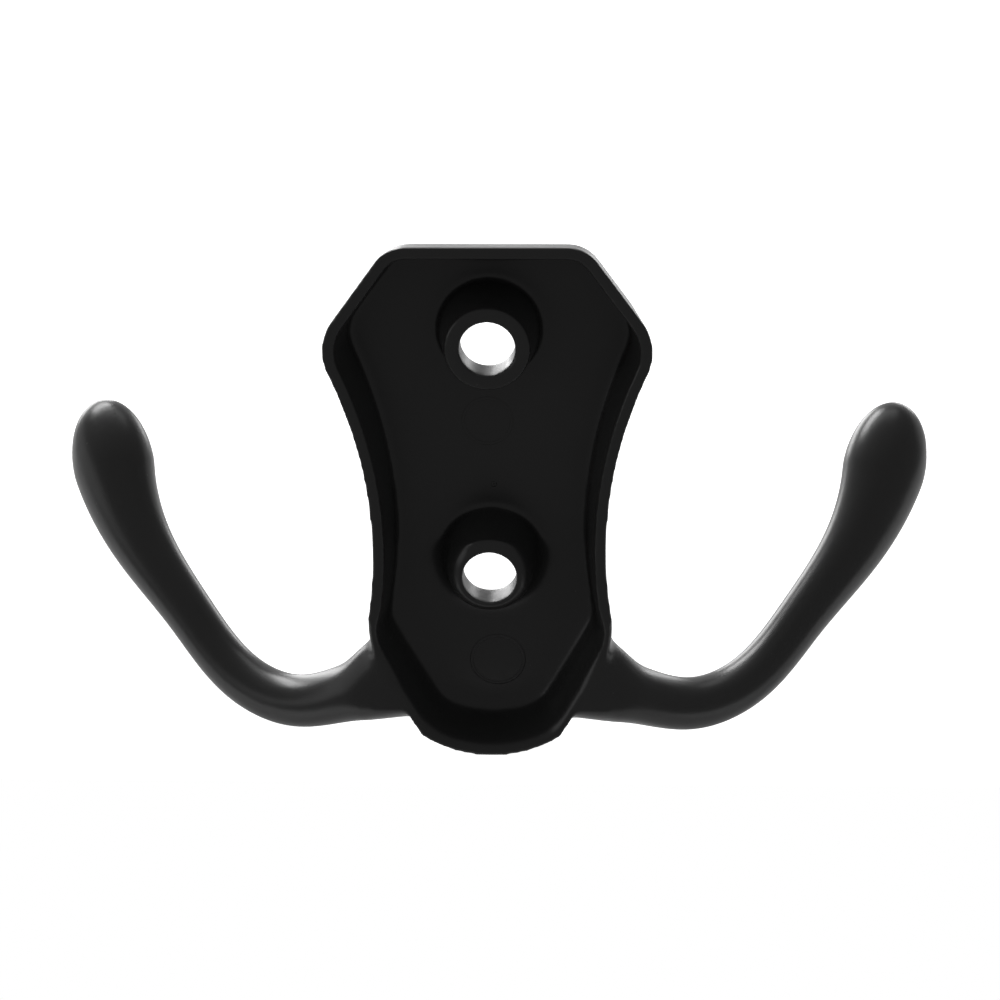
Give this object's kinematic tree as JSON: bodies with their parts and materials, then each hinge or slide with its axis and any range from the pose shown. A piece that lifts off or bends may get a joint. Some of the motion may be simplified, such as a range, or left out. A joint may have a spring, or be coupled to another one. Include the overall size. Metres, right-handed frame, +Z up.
{
  "type": "double robe hook",
  "caption": "Cast double robe hook: waisted wall plate with a hollow back and screw bosses, and upswept arms with rounded tips.",
  "frame": {"origin": "midway between the two screw holes, on the plane of the wall", "axes": "+Y out of the back of the plate into the wall, +Z up, X across both arms"},
  "size_m": [0.083, 0.0269, 0.0495],
  "materials": {
    "black_paint": "satin black paint over a zinc casting"
  },
  "bodies": {
    "root": {"double_robe_hook": "black_paint"}
  },
  "joints": []
}
